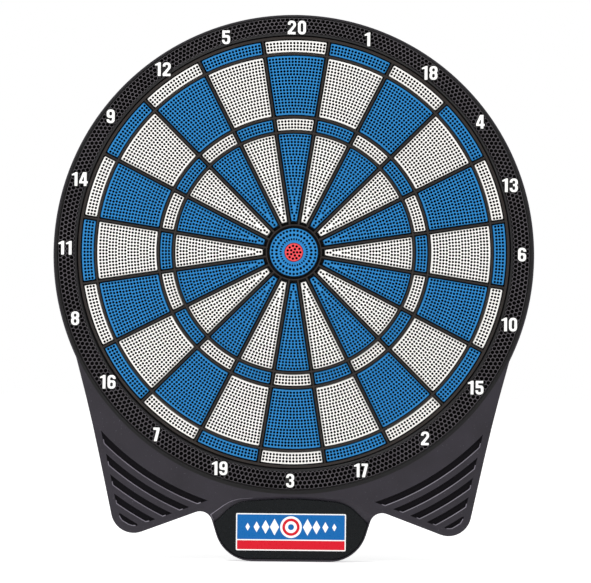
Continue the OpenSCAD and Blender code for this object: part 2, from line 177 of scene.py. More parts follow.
def rounded(path):
    """The outline through corners given as (x, z, rounding radius)."""
    corners = [Vector(corner[:2]) for corner in path]
    outline = []
    for k, corner in enumerate(path):
        if corner[2]:
            outline += corner_arc(corners[k - 1], corners[k], corners[(k + 1) % len(path)], corner[2])
        else:
            outline.append(corners[k])
    area = sum(turn(a, b) for a, b in zip(outline, outline[1:] + outline[:1]))
    return outline if area > 0 else outline[::-1]


def rounded_box(w, h, radius, middle=(0, 0)):
    x, z = middle
    signs = [(1, 1), (-1, 1), (-1, -1), (1, -1)]
    return rounded([(x + sx * w / 2, z + sz * h / 2, radius) for sx, sz in signs])


def inset(outline, gap):
    """The outline moved inward by a small gap, point for point."""
    moved = []
    for k, point in enumerate(outline):
        into = (point - outline[k - 1]).normalized()
        out = (outline[(k + 1) % len(outline)] - point).normalized()
        sideways = Vector((-into.y - out.y, into.x + out.x))
        moved.append(point + sideways * gap / (1 + into.dot(out)))
    return moved


def crossings(middle, way, outline):
    """How far along a ray from middle it crosses the outline, nearest first."""
    found = []
    for a, b in zip(outline, outline[1:] + outline[:1]):
        side = b - a
        cross = turn(way, side)
        if abs(cross) > 1e-9:
            along = turn(a - middle, side) / cross
            if along > 0 and 0 <= turn(a - middle, way) / cross < 1:
                found.append(along)
    return sorted(found)


def inside(point, outline):
    return len(crossings(point, Vector((0.6, 0.8)), outline)) % 2 == 1


def case_outline():
    """The round rim and the skirt below it, as one outline."""
    skirt = rounded(mirrored(SKIRT))
    lower = [p for p in skirt if (p - RIM_MIDDLE).length > RIM_R]
    start = skirt[skirt.index(lower[0]) - 1] - RIM_MIDDLE
    side = lower[0] - RIM_MIDDLE - start
    slope = start.dot(side)
    under_root = slope**2 - side.length_squared * (start.length_squared - RIM_R**2)
    along = (math.sqrt(under_root) - slope) / side.length_squared
    meet = start + side * along
    angle = math.atan2(-meet.x, meet.y)
    return [polar(RIM_R, a) + RIM_MIDDLE for a in spread(angle, -angle, 150)] + lower


# ---- Meshes ----


class Shape:
    """A closed mesh, drawn loop by loop in millimetres."""

    def __init__(self):
        self.points = []
        self.faces = []
        self.tones = []
        self.tone = 0

    def loop(self, outline, depth):
        """Adds an outline at a depth, which may depend on the point. Returns its point numbers."""
        first = len(self.points)
        for p in outline:
            self.points.append((p[0], p[1], depth(p) if callable(depth) else depth))
        return list(range(first, len(self.points)))

    def face(self, *corners):
        self.faces.append(corners)
        self.tones.append(self.tone)

    def wall(self, a, b):
        """A band between two loops. It faces out if a lies behind b, and in if b lies behind a."""
        for k in range(len(a)):
            n = (k + 1) % len(a)
            self.face(a[k], a[n], b[n], b[k])

    def stack(self, *loops):
        for a, b in zip(loops, loops[1:]):
            self.wall(a, b)

    def cap(self, outer, holes=(), front=True):
        """Fills a loop, apart from its holes. It faces the front, or else the wall."""
        numbers = []
        loops = []
        for loop in [outer] + [hole[::-1] for hole in holes]:
            loops.append(list(range(len(numbers), len(numbers) + len(loop))))
            numbers += loop
        flat = [Vector(self.points[n][:2]) for n in numbers]
        result = delaunay_2d_cdt(flat, [], loops, 2, 1e-7)
        sources = [numbers[found[0]] for found in result[3]]
        for triangle in result[2]:
            a, b, c = (sources[n] for n in triangle)
            pa, pb, pc = (Vector(self.points[n][:2]) for n in (a, b, c))
            if (turn(pb - pa, pc - pa) > 0) == front:
                self.face(a, b, c)
            else:
                self.face(a, c, b)

    def mesh(self, name, *materials):
        mesh = bpy.data.meshes.new(name)
        mesh.from_pydata([(x * MM, -depth * MM, z * MM) for x, z, depth in self.points], [], self.faces)
        for material in materials:
            mesh.materials.append(material)
        mesh.polygons.foreach_set("material_index", self.tones)
        mesh.polygons.foreach_set("use_smooth", [True] * len(self.faces))
        mesh.set_sharp_from_angle(angle=math.radians(32))
        mesh.update()
        return mesh


def rounding(shape, outline, high, radius, steps=4):
    """Loops that round a plate's front edge, the last of them on its front surface."""
    return [
        shape.loop(inset(outline, radius * (1 - math.cos(a))), high - radius * (1 - math.sin(a)))
        for a in spread(0, math.pi / 2, steps)
    ]


def plate(shape, outline, low, high, radius, steps=3):
    """A flat plate with a rounded front edge."""
    loops = [shape.loop(outline, low)] + rounding(shape, outline, high, radius, steps)
    shape.stack(*loops)
    shape.cap(loops[0], front=False)
    shape.cap(loops[-1])


def add_piece(name, mesh, body, nodes, turned=0.0):
    """Puts a mesh in the scene, riding on a body and standing for CAD nodes."""
    piece = bpy.data.objects.new(name, mesh)
    piece.matrix_world = Matrix.Rotation(turned, 4, "Y")
    bpy.context.scene.collection.objects.link(piece)
    weigh = piece.modifiers.new("flat faces", "WEIGHTED_NORMAL")
    weigh.keep_sharp = True
    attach(piece, body)
    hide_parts(*nodes)


# ---- Materials ----


def new_material(name, roughness, specular=0.5):
    material = bpy.data.materials.new(name)
    material.use_nodes = True
    tree = material.node_tree
    shader = tree.nodes["Principled BSDF"]
    shader.inputs["Roughness"].default_value = roughness
    shader.inputs["Specular IOR Level"].default_value = specular
    return material, tree, shader


def noise(tree, scale, detail=2.0, stretch=None):
    """Noise over the object's own coordinates, scale in features per metre."""
    place = tree.nodes.new("ShaderNodeTexCoord")
    texture = tree.nodes.new("ShaderNodeTexNoise")
    texture.inputs["Scale"].default_value = scale
    texture.inputs["Detail"].default_value = detail
    source = place.outputs["Object"]
    if stretch:
        mapping = tree.nodes.new("ShaderNodeMapping")
        mapping.inputs["Scale"].default_value = stretch
        tree.links.new(source, mapping.inputs["Vector"])
        source = mapping.outputs["Vector"]
    tree.links.new(source, texture.inputs["Vector"])
    return texture.outputs["Fac"]


def vary(tree, fac, low, high):
    """A number that follows noise between low and high."""
    spread_out = tree.nodes.new("ShaderNodeMapRange")
    spread_out.inputs["From Min"].default_value = 0.3
    spread_out.inputs["From Max"].default_value = 0.7
    spread_out.inputs["To Min"].default_value = low
    spread_out.inputs["To Max"].default_value = high
    tree.links.new(fac, spread_out.inputs["Value"])
    return spread_out.outputs["Result"]


def tint(tree, fac, dark, light):
    """A colour that follows noise between dark and light."""
    ramp = tree.nodes.new("ShaderNodeValToRGB")
    ramp.color_ramp.elements[0].position = 0.3
    ramp.color_ramp.elements[1].position = 0.7
    ramp.color_ramp.elements[0].color = (*dark, 1)
    ramp.color_ramp.elements[1].color = (*light, 1)
    tree.links.new(fac, ramp.inputs["Fac"])
    return ramp.outputs["Color"]


def bump(tree, shader, height, strength, distance):
    relief = tree.nodes.new("ShaderNodeBump")
    relief.inputs["Strength"].default_value = strength
    relief.inputs["Distance"].default_value = distance
    tree.links.new(height, relief.inputs["Height"])
    tree.links.new(relief.outputs["Normal"], shader.inputs["Normal"])


def linear(r, g, b):
    """Linear colour of display values from 0 to 255."""
    return tuple(c / 255 / 12.92 if c <= 10 else ((c / 255 + 0.055) / 1.055) ** 2.4 for c in (r, g, b))


def moulded(name, colour, roughness, grain, relief, uneven=0.05, specular=0.5):
    """Moulded plastic: a fine grain, and slightly uneven colour and gloss."""
    material, tree, shader = new_material(name, roughness, specular)
    fine = noise(tree, grain, 3)
    broad = noise(tree, 22, 4)
    dark = tuple(c * (1 - uneven) for c in colour)
    light = tuple(min(1, c * (1 + uneven)) for c in colour)
    tree.links.new(tint(tree, broad, dark, light), shader.inputs["Base Color"])
    tree.links.new(vary(tree, fine, roughness - 0.06, roughness + 0.08), shader.inputs["Roughness"])
    bump(tree, shader, fine, 0.6, relief)
    return material


def by_depth(name, front, back, front_depth, back_depth, roughness):
    """Moulded plastic with a painted shade: it darkens from its front ridges down into its gaps."""
    material, tree, shader = new_material(name, roughness, 0.3)
    place = tree.nodes.new("ShaderNodeTexCoord")
    axes = tree.nodes.new("ShaderNodeSeparateXYZ")
    tree.links.new(place.outputs["Object"], axes.inputs["Vector"])
    shade_amount = tree.nodes.new("ShaderNodeMapRange")
    shade_amount.inputs["From Min"].default_value = -front_depth * MM
    shade_amount.inputs["From Max"].default_value = -back_depth * MM
    tree.links.new(axes.outputs["Y"], shade_amount.inputs["Value"])
    fine = noise(tree, 900, 3)
    worn = tint(tree, noise(tree, 60, 4), tuple(c * 0.88 for c in front), tuple(c * 1.12 for c in front))
    mix = tree.nodes.new("ShaderNodeMixRGB")
    # The back colour is the painted shade deep in the gaps
    mix.inputs["Color2"].default_value = (*back, 1)
    tree.links.new(shade_amount.outputs["Result"], mix.inputs["Fac"])
    tree.links.new(worn, mix.inputs["Color1"])
    tree.links.new(mix.outputs["Color"], shader.inputs["Base Color"])
    tree.links.new(vary(tree, fine, roughness - 0.06, roughness + 0.08), shader.inputs["Roughness"])
    bump(tree, shader, fine, 0.5, 0.00005)
    return material


def case_plastic(name, colour, bead, speck):
    """The case's grained plastic, with light specks, and dark on the bead round the opening."""
    material, tree, shader = new_material(name, 0.55, 0.35)
    place = tree.nodes.new("ShaderNodeTexCoord")
    flat = tree.nodes.new("ShaderNodeVectorMath")
    flat.operation = "MULTIPLY"
    flat.inputs[1].default_value = (1, 0, 1)
    tree.links.new(place.outputs["Object"], flat.inputs[0])
    away = tree.nodes.new("ShaderNodeVectorMath")
    away.operation = "DISTANCE"
    away.inputs[1].default_value = (0, 0, RIM_MIDDLE.y * MM)
    tree.links.new(flat.outputs["Vector"], away.inputs[0])
    outside = tree.nodes.new("ShaderNodeMapRange")
    outside.inputs["From Min"].default_value = (OPENING_R + 2.3) * MM
    outside.inputs["From Max"].default_value = (OPENING_R + 2.8) * MM
    tree.links.new(away.outputs["Value"], outside.inputs["Value"])
    specks = tree.nodes.new("ShaderNodeMapRange")
    specks.inputs["From Min"].default_value = 0.67
    specks.inputs["From Max"].default_value = 0.74
    specks.inputs["To Max"].default_value = 0.6
    tree.links.new(noise(tree, 560, 2), specks.inputs["Value"])
    broad = tint(tree, noise(tree, 34, 5), tuple(c * 0.82 for c in colour), tuple(c * 1.18 for c in colour))
    speckled = tree.nodes.new("ShaderNodeMixRGB")
    speckled.inputs["Color2"].default_value = (*speck, 1)
    tree.links.new(specks.outputs["Result"], speckled.inputs["Fac"])
    tree.links.new(broad, speckled.inputs["Color1"])
    mix = tree.nodes.new("ShaderNodeMixRGB")
    mix.inputs["Color1"].default_value = (*bead, 1)
    tree.links.new(outside.outputs["Result"], mix.inputs["Fac"])
    tree.links.new(speckled.outputs["Color"], mix.inputs["Color2"])
    tree.links.new(mix.outputs["Color"], shader.inputs["Base Color"])
    fine = noise(tree, 1400, 3)
    tree.links.new(vary(tree, fine, 0.48, 0.62), shader.inputs["Roughness"])
    bump(tree, shader, fine, 0.6, 0.00018)
    return material


CHARCOAL = case_plastic("charcoal plastic", linear(39, 35, 43), linear(9, 7, 8), linear(88, 84, 94))
# Painted highlight where the grooves' lips and the scoop's edge catch the light
EDGE_HIGHLIGHT = moulded("painted highlight on edges", linear(118, 113, 124), 0.4, 1400, 0.00004, 0.2, 0.5)
GROOVE = moulded("groove plastic", linear(13, 11, 15), 0.7, 1400, 0.00012, 0.06, 0.08)
# Spider webs: brown on their ridges, with a painted shade darkening them down into the gaps
WEB = by_depth("web plastic, painted shade in gaps", linear(41, 35, 32), linear(5, 4, 4), 29.4, 28.9, 0.5)
RING_BLACK = moulded("ring plastic", linear(13, 11, 13), 0.45, 900, 0.00004, 0.1, 0.4)
# Comb ridges: the black ring plastic painted light grey as a highlight
COMB_RIDGE_HIGHLIGHT = moulded("painted highlight on comb ridges", linear(92, 87, 92), 0.4, 900, 0.00004, 0.15, 0.5)
# Comb pockets: the ring plastic painted nearly black as shade
COMB_POCKET_SHADE = moulded("painted shade in comb pockets", linear(2, 2, 2), 0.6, 900, 0.00004, 0.1, 0.1)
BLUE = moulded("blue plastic", linear(32, 126, 190), 0.42, 700, 0.00004, 0.05, 0.3)
# Deep hole walls: the blue plastic painted near black as shade
BLUE_HOLE_SHADE = moulded("painted shade in blue holes", linear(2, 6, 12), 0.6, 700, 0.00002, 0.05, 0.05)
WHITE = moulded("white plastic", linear(244, 242, 238), 0.45, 700, 0.00004, 0.02, 0.4)
# Deep hole walls: the white plastic painted near black as shade
WHITE_HOLE_SHADE = moulded("painted shade in white holes", linear(6, 6, 6), 0.6, 700, 0.00002, 0.05, 0.05)
RED = moulded("red plastic", linear(228, 66, 74), 0.42, 700, 0.00004, 0.08, 0.45)
# Deep hole walls: the red plastic painted near black as shade
RED_HOLE_SHADE = moulded("painted shade in red holes", linear(12, 3, 4), 0.6, 700, 0.00002, 0.05, 0.05)
NUMBER_WHITE = moulded("number white", linear(248, 248, 245), 0.5, 700, 0.00002, 0.01, 0.3)
PANEL_BLACK = moulded("panel plastic", linear(6, 10, 13), 0.25, 500, 0.000004, 0.05, 0.18)
BADGE_WHITE = moulded("badge white", linear(246, 246, 244), 0.3, 500, 0.000004, 0.01, 0.3)
BADGE_BLUE = moulded("badge blue", linear(0, 98, 168), 0.3, 500, 0.000004, 0.03, 0.2)
BADGE_RED = moulded("badge red", linear(208, 12, 36), 0.3, 500, 0.000004, 0.03, 0.2)


# ---- Segments ----


def sector_loop(inner, outer, side, corner):
    """A ring's piece at the top of the board, its sides parallel to the radial walls."""
    low, high = inner + corner, outer - corner
    low_angle = SECTOR / 2 - math.asin((side + corner) / low)
    high_angle = SECTOR / 2 - math.asin((side + corner) / high)
    square = SECTOR / 2 + math.pi / 2
    right = [polar(low, low_angle) + polar(corner, a) for a in spread(math.pi + low_angle, square, 3)]
    right += [polar(high, high_angle) + polar(corner, a) for a in spread(square, high_angle, 3)]
    left = [Vector((-p.x, p.y)) for p in reversed(right)]
    outer_arc = [polar(outer, a) for a in spread(high_angle, -high_angle, 16)[1:-1]]
    inner_arc = [polar(inner, a) for a in spread(-low_angle, low_angle, 16)[1:-1]]
    return right + outer_arc + left + inner_arc


def tip_spots(inner, outer, rows, per_row):
    """Middles of the tip holes in one segment, row by row."""
    side_room = BODY_SIDE + 1.7
    end_room = max(1.9, (outer - inner - (rows - 1) * TIP_PITCH) / 2)
    spots = []
    for r in spread(inner + end_room, outer - end_room, rows - 1):
        reach = SECTOR / 2 - math.asin(side_room / r)
        count = per_row or max(1, math.floor(2 * r * reach / TIP_PITCH + 1))
        angles = spread(-reach, reach, count - 1) if count > 1 else [0]
        spots += [polar(r, a) for a in angles]
    return spots


def drill(shape, spots, low, high, radius=TIP_R, stretch=1.0):
    """Walls of holes that widen at the front, long towards the bull if stretched. Returns their end loops."""
    fronts, backs = [], []
    for spot in spots:
        away = spot.normalized() if spot.length else Vector((0, 1))
        rims = []
        for r, depth in ((radius + TIP_LEAD, high), (radius, high - TIP_LEAD * 1.3), (radius, low)):
            ring = circle(r, 10)
            long_ring = [p + away * p.dot(away) * (stretch - 1) + spot for p in ring]
            rims.append(shape.loop(long_ring, depth))
        shape.wall(*rims[:2])
        # Below the lead, the hole walls take the second material: a painted shade
        shape.tone = 1
        shape.wall(*rims[1:])
        shape.tone = 0
        fronts.append(rims[0])
        backs.append(rims[-1])
    return fronts, backs


def draw_segment(shape, area):
    """A flanged plate, drilled right through with rows of tip holes."""
    inner, outer = area[:2]
    foot = sector_loop(inner - FLANGE_LIP, outer + FLANGE_LIP, FLANGE_SIDE, 0.4)
    body = sector_loop(inner, outer, BODY_SIDE, 1.0)
    fronts, backs = drill(shape, tip_spots(*area), SEGMENT_BACK, FACE)
    base = shape.loop(foot, SEGMENT_BACK)
    rim = rounding(shape, body, FACE, 0.4, 3)
    shape.stack(base, shape.loop(foot, FLANGE_FRONT), shape.loop(body, FLANGE_FRONT), *rim)
    shape.cap(base, backs, front=False)
    shape.cap(rim[-1], fronts)


def make_segments():
    for kind, areas in (("single", (INNER_SINGLE, OUTER_SINGLE)), ("double_triple", (TRIPLE, DOUBLE))):
        shape = Shape()
        for area in areas:
            draw_segment(shape, area)
        meshes = {
            "blue": shape.mesh(f"{kind} blue", BLUE, BLUE_HOLE_SHADE),
            "white": shape.mesh(f"{kind} white", WHITE, WHITE_HOLE_SHADE),
        }
        for k, score in enumerate(SCORES):
            tone = "blue" if (k % 2 == 0) == (kind == "single") else "white"
            node = f"{kind}_{score}"
            add_piece(f"{node}_drilled", meshes[tone], node, [node], k * SECTOR)


def make_outer_bull():
    """The outer bull: three rings of tip holes round a raised collar."""
    shape = Shape()
    collar_r = 10.6
    bore_r = INNER_BULL_R + 0.4
    counterbore_r = 10.8
    fronts, backs = [], []
    for r, count, radius, stretch in ((12.3, 33, 0.8, 1.4), (16.25, 30, TIP_R, 1.15), (20.2, 38, TIP_R, 1.0)):
        spots = [polar(r, a) for a in spread(0, 2 * math.pi, count)[:-1]]
        front, back = drill(shape, spots, SEGMENT_BACK, FACE, radius, stretch)
        fronts += front
        backs += back
    flange = circle(BULL_R + 1.6, 96)
    base = shape.loop(flange, SEGMENT_BACK)
    rim = rounding(shape, circle(BULL_R, 96), FACE, 0.6, 3)
    shape.stack(base, shape.loop(flange, FLANGE_FRONT), shape.loop(circle(BULL_R, 96), FLANGE_FRONT), *rim)
    collar = [
        (collar_r, 0), (collar_r - 0.15, 0.35), (collar_r - 0.5, 0.6),
        (bore_r + 0.5, 0.6), (bore_r + 0.1, 0.4), (bore_r, 0),
    ]
    hub = [shape.loop(circle(r, 96), FACE + rise) for r, rise in collar]
    hub.append(shape.loop(circle(bore_r, 96), FLANGE_FRONT + 0.9))
    hub.append(shape.loop(circle(counterbore_r, 96), FLANGE_FRONT + 0.9))
    hub.append(shape.loop(circle(counterbore_r, 96), SEGMENT_BACK))
    shape.stack(*hub)
    shape.cap(rim[-1], fronts + [hub[0]])
    shape.cap(base, backs + [hub[-1]], front=False)
    mesh = shape.mesh("outer bull", BLUE, BLUE_HOLE_SHADE)
    add_piece("outer_bull_drilled", mesh, "outer_bull", ["outer_bull"])


def make_inner_bull():
    shape = Shape()
    spots = [Vector((0, 0))]
    for r, count in ((3.05, 5), (6, 11)):
        spots += [polar(r, a + math.pi / 2) for a in spread(0, 2 * math.pi, count)[:-1]]
    fronts, backs = drill(shape, spots, SEGMENT_BACK, FACE)
    flange = circle(INNER_BULL_R + 1.8, 72)
    base = shape.loop(flange, SEGMENT_BACK)
    rim = rounding(shape, circle(INNER_BULL_R, 72), FACE, 0.6, 3)
    neck = shape.loop(circle(INNER_BULL_R, 72), SEGMENT_BACK + 1)
    shape.stack(base, shape.loop(flange, SEGMENT_BACK + 1), neck, *rim)
    shape.cap(rim[-1], fronts)
    shape.cap(base, backs, front=False)
    mesh = shape.mesh("inner bull", RED, RED_HOLE_SHADE)
    add_piece("inner_bull_drilled", mesh, "inner_bull", ["inner_bull"])


# ---- Catch ring and its numbers ----

COMB_COLUMNS = 327
COMB_ROWS = 5


def from_bull(radius, angle):
    """Distance from the bull to a circle about the opening's middle, which lies lower."""
    drop = -OPENING_MIDDLE.y
    return math.sqrt(radius**2 - (drop * math.sin(angle)) ** 2) - drop * math.cos(angle)


def comb_point(r, angle):
    across = (r - COMB_IN_R) / (COMB_OUT_R - COMB_IN_R)
    return polar(COMB_IN_R + across * (from_bull(COMB_OUT_R, angle) - COMB_IN_R), angle)


def comb_depth(p):
    """The catch ring's face is dished: it rises towards the rim."""
    across = (p.length - COMB_IN_R) / (from_bull(COMB_OUT_R, math.atan2(p.x, p.y)) - COMB_IN_R)
    return 29.3 + 1.7 * across


def comb_chain(row):
    """Zigzag of cell corners above a row of cells, as radii by half columns, the rows counted inward."""
    side = 2 * math.pi / COMB_COLUMNS / math.sqrt(3)
    middle = math.log(216.9) - 1.5 * side * row
    radii = []
    for k in range(2 * COMB_COLUMNS):
        reach = middle + side * (1 if (k + row) % 2 == 0 else 0.5)
        radii.append(min(max(math.exp(reach), COMB_IN_R), COMB_OUT_R))
    return radii


def draw_cell(shape, corners):
    """A pocket with chamfered walls inside a ring of corners."""
    points = [shape.points[n] for n in corners]
    middle = [sum(p[axis] for p in points) / len(points) for axis in range(2)]
    steps = []
    for shrink, sink in ((0.92, 0.06), (0.82, 0.8), (0.78, 3.6)):
        first = len(shape.points)
        for p in points:
            x, z = (m + (c - m) * shrink for m, c in zip(middle, p))
            shape.points.append((x, z, p[2] - sink))
        steps.append(list(range(first, first + len(points))))
    # The ridge tops and chamfers take a painted highlight
    shape.tone = 1
    shape.stack(corners, *steps[:2])
    # The deep walls and floor take a painted shade
    shape.tone = 2
    shape.wall(*steps[1:])
    shape.face(*steps[-1])
    shape.tone = 0


def make_catch_ring():
    """The ring that catches stray darts: a honeycomb between a rounded lip and the case's rim."""
    shape = Shape()
    count = 2 * COMB_COLUMNS
    angles = spread(0, -2 * math.pi, count)[:-1]
    chains = []
    for row in range(COMB_ROWS + 1):
        radii = comb_chain(row)
        chains.append(shape.loop([comb_point(r, a) for r, a in zip(radii, angles)], comb_depth))
    for row in range(COMB_ROWS):
        above, below = chains[row], chains[row + 1]
        for k in range(row % 2, count, 2):
            left, right = (k + 1) % count, k - 1
            draw_cell(shape, [above[right], above[k], above[left], below[left], below[k], below[right]])
    profile = [
        (COMB_IN_R - 0.35, 29.45), (COMB_IN_R - 0.9, 29.55), (COMB_IN_R - 1.6, 29.45),
        (COMB_IN_R - 2.2, 29.0), (CATCH_IN_R, 28.2), (CATCH_IN_R, CATCH_BACK),
    ]
    edge = [(CATCH_OUT_R, CATCH_BACK), (CATCH_OUT_R, 30.8), (CATCH_OUT_R - 0.2, 31.0)]
    loops = [shape.loop([polar(r, a) for a in angles], depth) for r, depth in profile]
    loops += [shape.loop([polar(from_bull(r, a), a) for a in angles], depth) for r, depth in edge]
    shape.stack(chains[-1], *loops, chains[0])
    # Black ring plastic, with the comb's painted highlight on ridges and painted shade in pockets
    mesh = shape.mesh("catch ring", RING_BLACK, COMB_RIDGE_HIGHLIGHT, COMB_POCKET_SHADE)
    add_piece("catch_ring_comb", mesh, "board", ["catch_ring"])


# Numerals, drawn 12.8 tall round their middle: corners of the outline, then of each counter
NUMERALS = {
    0: [
        [(-3.8, -6.4, 3.4), (3.8, -6.4, 3.4), (3.8, 6.4, 3.4), (-3.8, 6.4, 3.4)],
        [(-1.15, -4.1, 1.1), (1.15, -4.1, 1.1), (1.15, 4.1, 1.1), (-1.15, 4.1, 1.1)],
    ],
    1: [[(-0.1, -6.4, 0.3), (2.7, -6.4, 0.3), (2.7, 6.4, 0.3), (0.9, 6.4, 0.6), (-2.7, 4.5, 0.3),
         (-2.7, 3.2, 0.3), (-0.1, 3.6, 0.3)]],
    2: [[(-3.8, -6.4, 0.3), (3.6, -6.4, 0.3), (3.6, -4.1, 0.3), (-0.4, -4.1, 0.3), (3.8, 1.4, 3),
         (3.8, 6.4, 3.3), (-3.8, 6.4, 3.3), (-3.8, 2.4, 0.3), (-1.25, 2.4, 0.3), (-1.25, 4.2, 1.15),
         (1.25, 4.2, 1.15), (1.25, 1.9, 1.5), (-3.8, -4, 1)]],
    3: [[(-3.8, -6.4, 3.3), (3.8, -6.4, 3.3), (3.8, -1.2, 1.6), (2.9, 0.2, 0.4), (3.8, 1.5, 1.6),
         (3.8, 6.4, 3.3), (-3.8, 6.4, 3.3), (-3.8, 2.5, 0.3), (-1.25, 2.5, 0.3), (-1.25, 4.2, 1.15),
         (1.25, 4.2, 1.15), (1.25, 1.3, 0.9), (-0.8, 1.3, 0.3), (-0.8, -0.9, 0.3), (1.25, -0.9, 0.9),
         (1.25, -4.2, 1.15), (-1.25, -4.2, 1.15), (-1.25, -2.3, 0.3), (-3.8, -2.3, 0.3)]],
    4: [[(0.2, -6.4, 0.3), (2.9, -6.4, 0.3), (2.9, -4, 0.3), (4, -4, 0.3), (4, -1.9, 0.3), (2.9, -1.9, 0.3),
         (2.9, 6.4, 0.3), (-0.5, 6.4, 0.3), (-4, -1.9, 0.3), (-4, -4, 0.3), (0.2, -4, 0.3)],
        [(-1.6, -1.9, 0.3), (0.4, -1.9, 0.3), (0.4, 2.9, 0.3)]],
    5: [[(-3.8, -6.4, 3.3), (3.8, -6.4, 3.3), (3.8, 2.2, 2.8), (-1.15, 2.2, 0.5), (-1.15, 4.1, 0.3),
         (3.4, 4.1, 0.3), (3.4, 6.4, 0.3), (-3.6, 6.4, 0.3), (-3.6, -0.6, 0.3), (-1.15, -0.4, 0.3),
         (1.25, -0.2, 1.1), (1.25, -4.2, 1.15), (-1.25, -4.2, 1.15), (-1.25, -2.3, 0.3), (-3.8, -2.3, 0.3)]],
    6: [[(-3.8, -6.4, 3.3), (3.8, -6.4, 3.3), (3.8, 1.5, 2.6), (-1.2, 1.5, 0.3), (-1.2, 4.2, 1.1),
         (1.2, 4.2, 1.1), (1.2, 2.7, 0.3), (3.8, 2.7, 0.3), (3.8, 6.4, 3.3), (-3.8, 6.4, 3.3)],
        [(-1.2, -4.2, 1.1), (1.2, -4.2, 1.1), (1.2, -0.7, 1.1), (-1.2, -0.7, 1.1)]],
    7: [[(-2.5, -6.4, 0.3), (0.4, -6.4, 0.3), (3, 4.4, 0.3), (3, 6.4, 0.3), (-3, 6.4, 0.3), (-3, 4.1, 0.3),
         (0.1, 4.1, 0.3)]],
    8: [[(-3.8, -6.4, 3.3), (3.8, -6.4, 3.3), (3.8, -1.2, 1.6), (3, 0.2, 0.4), (3.8, 1.5, 1.6),
         (3.8, 6.4, 3.3), (-3.8, 6.4, 3.3), (-3.8, 1.5, 1.6), (-3, 0.2, 0.4), (-3.8, -1.2, 1.6)],
        [(-1.15, -4.2, 1), (1.15, -4.2, 1), (1.15, -0.9, 1), (-1.15, -0.9, 1)],
        [(-1.15, 1.4, 1), (1.15, 1.4, 1), (1.15, 4.2, 1), (-1.15, 4.2, 1)]],
}
NUMERALS[9] = [[(-x, -z, r) for x, z, r in path] for path in NUMERALS[6]]


# Pads of the numerals that leave part of their box bare
PADS = {
    1: [(-1, -7.1, 0.8), (3.4, -7.1, 0.8), (3.4, 7.1, 0.8), (0.6, 7.1, 0.8), (-3.4, 5.1, 0.8),
        (-3.4, 2.4, 0.8), (-1, 2.8, 0.3)],
    4: [(-0.6, -7.1, 0.8), (3.6, -7.1, 0.8), (4.7, -4.7, 0.8), (4.7, -1.2, 0.8), (3.6, 7.1, 0.8),
        (-0.9, 7.1, 0.8), (-4.7, -1.7, 0.8), (-4.7, -4.7, 0.8), (-0.6, -4.7, 0.3)],
    7: [(-3.3, -7.1, 0.8), (1, -7.1, 0.8), (3.7, 4.3, 0.8), (3.7, 7.1, 0.8), (-3.7, 7.1, 0.8),
        (-3.7, 3.4, 0.8), (-0.8, 3.4, 0.3)],
}


def numeral_width(digit):
    return {1: 5.4, 7: 6}.get(digit, 7.8)


def draw_numeral(shape, digit, middle):
    """A white-faced raised numeral with black sides, on a black pad that frames it."""
    pad = PADS.get(digit) or [(x, z, 3.6) for x, z in ((-4.5, -7.1), (4.5, -7.1), (4.5, 7.1), (-4.5, 7.1))]
    pad, *outlines = [
        rounded([(x + middle.x, z + middle.y, r) for x, z, r in path]) for path in [pad] + NUMERALS[digit]
    ]
    shape.tone = 1
    plate(shape, pad, 28.2, 30.75, 0.25, 2)
    base = [shape.loop(outlines[0], 30.2)] + [shape.loop(o, 30.2) for o in outlines[1:]]
    tops = [shape.loop(o, NUMBER_FRONT - 0.35) for o in outlines]
    shape.wall(base[0], tops[0])
    for a, b in zip(base[1:], tops[1:]):
        shape.wall(b, a)
    shape.cap(base[0], base[1:], front=False)
    shape.tone = 0
    faces = [shape.loop(inset(o, 0.2 if k == 0 else -0.2), NUMBER_FRONT) for k, o in enumerate(outlines)]
    shape.wall(tops[0], faces[0])
    for a, b in zip(tops[1:], faces[1:]):
        shape.wall(b, a)
    shape.cap(faces[0], faces[1:])


# The loop of numbers: how far it reaches across and up, its middle, its small turn clockwise, and
# how far its sides rise
NUMBERS_REACH = (212, 210.2)
NUMBERS_MIDDLE = (-0.3, -1.7)
NUMBERS_TURN = math.radians(0.26)
NUMBERS_RISE = 2.7
PAD_HALF_HEIGHT = 7.1
PAD_BORDER = 0.7
PAD_ROUNDING = 1.5


def number_spot(k, width):
    """Middle of the number of sector k. One whose pad would run into the case's rim sits further in."""
    angle = k * SECTOR + NUMBERS_TURN
    spot = Vector((
        NUMBERS_REACH[0] * math.sin(angle) + NUMBERS_MIDDLE[0],
        NUMBERS_REACH[1] * math.cos(angle) + NUMBERS_MIDDLE[1] + NUMBERS_RISE * math.sin(angle) ** 2,
    ))
    across = abs(spot.x) + width / 2 + PAD_BORDER
    corner = Vector((across, abs(spot.y - OPENING_MIDDLE.y) + PAD_HALF_HEIGHT))
    beyond = corner.length - PAD_ROUNDING - (CATCH_OUT_R - 0.2)
    return spot - spot.normalized() * max(0, beyond)


def make_numbers():
    shape = Shape()
    gap = 1.6
    for k, score in enumerate(SCORES):
        digits = [int(c) for c in str(score)]
        width = sum(numeral_width(d) for d in digits) + gap * (len(digits) - 1)
        spot = number_spot(k, width)
        left = spot.x - width / 2
        for digit in digits:
            draw_numeral(shape, digit, Vector((left + numeral_width(digit) / 2, spot.y)))
            left += numeral_width(digit) + gap
    mesh = shape.mesh("numbers", NUMBER_WHITE, RING_BLACK)
    add_piece("ring_numbers", mesh, "board", ["catch_ring"])


# ---- Case ----


def pod_loop(*outlines):
    """The part of the pod that lies inside every given outline, drawn by rays from its middle."""
    middle = Vector((0, -256))
    count = 260
    loop = []
    for a in spread(0, 2 * math.pi, count)[:-1]:
        way = Vector((74 * math.cos(a), 30 * math.sin(a))).normalized()
        loop.append(middle + way * min(crossings(middle, way, outline)[0] for outline in outlines))
    return loop


